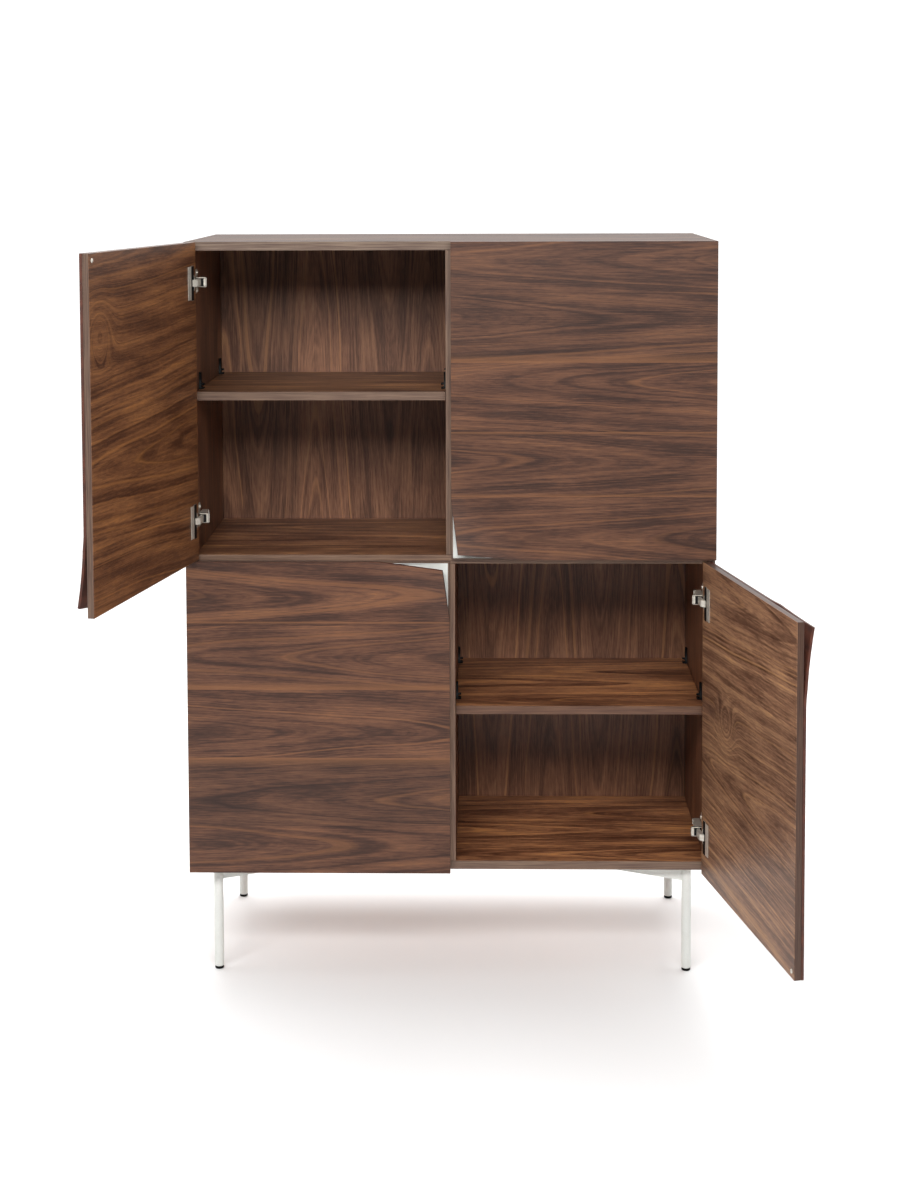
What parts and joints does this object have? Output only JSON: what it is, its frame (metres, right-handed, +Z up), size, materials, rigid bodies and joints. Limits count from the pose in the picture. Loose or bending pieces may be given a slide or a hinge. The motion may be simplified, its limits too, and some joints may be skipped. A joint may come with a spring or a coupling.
{
  "type": "cube storage unit",
  "caption": "Square veneered storage unit on slim steel legs, with shelved compartments behind hinged doors that have peeled-corner finger grips",
  "frame": {"origin": "on the floor, in the middle of the box around the whole unit with its two doors open", "axes": "+X to the right as seen from the front, +Y to the back, +Z up"},
  "size_m": [1.2134, 0.9387, 1.41],
  "materials": {
    "carcass_veneer": "open-pored walnut veneer with a matt lacquer",
    "shelf_veneer": "open-pored walnut veneer with a matt lacquer",
    "door_panel_veneer": "walnut veneer inside, white lacquer on the hidden front",
    "door_skin_veneer": "walnut-veneered thin plywood with a matt lacquer",
    "hinge_nickel": "nickel plated",
    "leg_powder_coat": "white powder coat",
    "glide_rubber": "black plastic",
    "support_plastic": "black plastic"
  },
  "bodies": {
    "carcass": {"side_left": "carcass_veneer", "side_right": "carcass_veneer", "top_board": "carcass_veneer", "bottom_board": "carcass_veneer", "middle_board": "carcass_veneer", "divider_upper": "carcass_veneer", "divider_lower": "carcass_veneer", "back_panel": "carcass_veneer", "shelf_upper_left": "shelf_veneer", "shelf_upper_right": "shelf_veneer", "shelf_lower_left": "shelf_veneer", "shelf_lower_right": "shelf_veneer", "support_upper_left_outer_front": "support_plastic", "support_upper_left_outer_rear": "support_plastic", "support_upper_left_inner_front": "support_plastic", "support_upper_left_inner_rear": "support_plastic", "support_upper_right_outer_front": "support_plastic", "support_upper_right_outer_rear": "support_plastic", "support_upper_right_inner_front": "support_plastic", "support_upper_right_inner_rear": "support_plastic", "support_lower_left_outer_front": "support_plastic", "support_lower_left_outer_rear": "support_plastic", "support_lower_left_inner_front": "support_plastic", "support_lower_left_inner_rear": "support_plastic", "support_lower_right_outer_front": "support_plastic", "support_lower_right_outer_rear": "support_plastic", "support_lower_right_inner_front": "support_plastic", "support_lower_right_inner_rear": "support_plastic", "hinge_arm_upper_left_bottom": "hinge_nickel", "hinge_arm_upper_left_top": "hinge_nickel", "hinge_arm_upper_right_bottom": "hinge_nickel", "hinge_arm_upper_right_top": "hinge_nickel", "hinge_arm_lower_left_bottom": "hinge_nickel", "hinge_arm_lower_left_top": "hinge_nickel", "hinge_arm_lower_right_bottom": "hinge_nickel", "hinge_arm_lower_right_top": "hinge_nickel", "leg_front_left": "leg_powder_coat", "leg_front_right": "leg_powder_coat", "leg_rear_left": "leg_powder_coat", "leg_rear_right": "leg_powder_coat", "glide_front_left": "glide_rubber", "glide_front_right": "glide_rubber", "glide_rear_left": "glide_rubber", "glide_rear_right": "glide_rubber"},
    "door_upper_left": {"door_panel_upper_left": "door_panel_veneer", "door_skin_upper_left": "door_skin_veneer", "hinge_cup_upper_left_bottom": "hinge_nickel", "hinge_cup_upper_left_top": "hinge_nickel"},
    "door_upper_right": {"door_panel_upper_right": "door_panel_veneer", "door_skin_upper_right": "door_skin_veneer", "hinge_cup_upper_right_bottom": "hinge_nickel", "hinge_cup_upper_right_top": "hinge_nickel"},
    "door_lower_left": {"door_panel_lower_left": "door_panel_veneer", "door_skin_lower_left": "door_skin_veneer", "hinge_cup_lower_left_bottom": "hinge_nickel", "hinge_cup_lower_left_top": "hinge_nickel"},
    "door_lower_right": {"door_panel_lower_right": "door_panel_veneer", "door_skin_lower_right": "door_skin_veneer", "hinge_cup_lower_right_bottom": "hinge_nickel", "hinge_cup_lower_right_top": "hinge_nickel"}
  },
  "joints": [
    {"name": "upper_left_door_hinge", "type": "hinge", "parent": "carcass", "child": "door_upper_left", "pos_m": [-0.4925, 0.01442, 1.11], "axis": [0, 0, -1], "range_deg": [-101.5, 3.5]},
    {"name": "upper_right_door_hinge", "type": "hinge", "parent": "carcass", "child": "door_upper_right", "pos_m": [0.4925, 0.01442, 1.11], "axis": [0, 0, 1], "range_deg": [0, 105]},
    {"name": "lower_left_door_hinge", "type": "hinge", "parent": "carcass", "child": "door_lower_left", "pos_m": [-0.4925, 0.01442, 0.506], "axis": [0, 0, -1], "range_deg": [0, 105]},
    {"name": "lower_right_door_hinge", "type": "hinge", "parent": "carcass", "child": "door_lower_right", "pos_m": [0.4925, 0.01442, 0.506], "axis": [0, 0, 1], "range_deg": [-101.5, 3.5]}
  ]
}
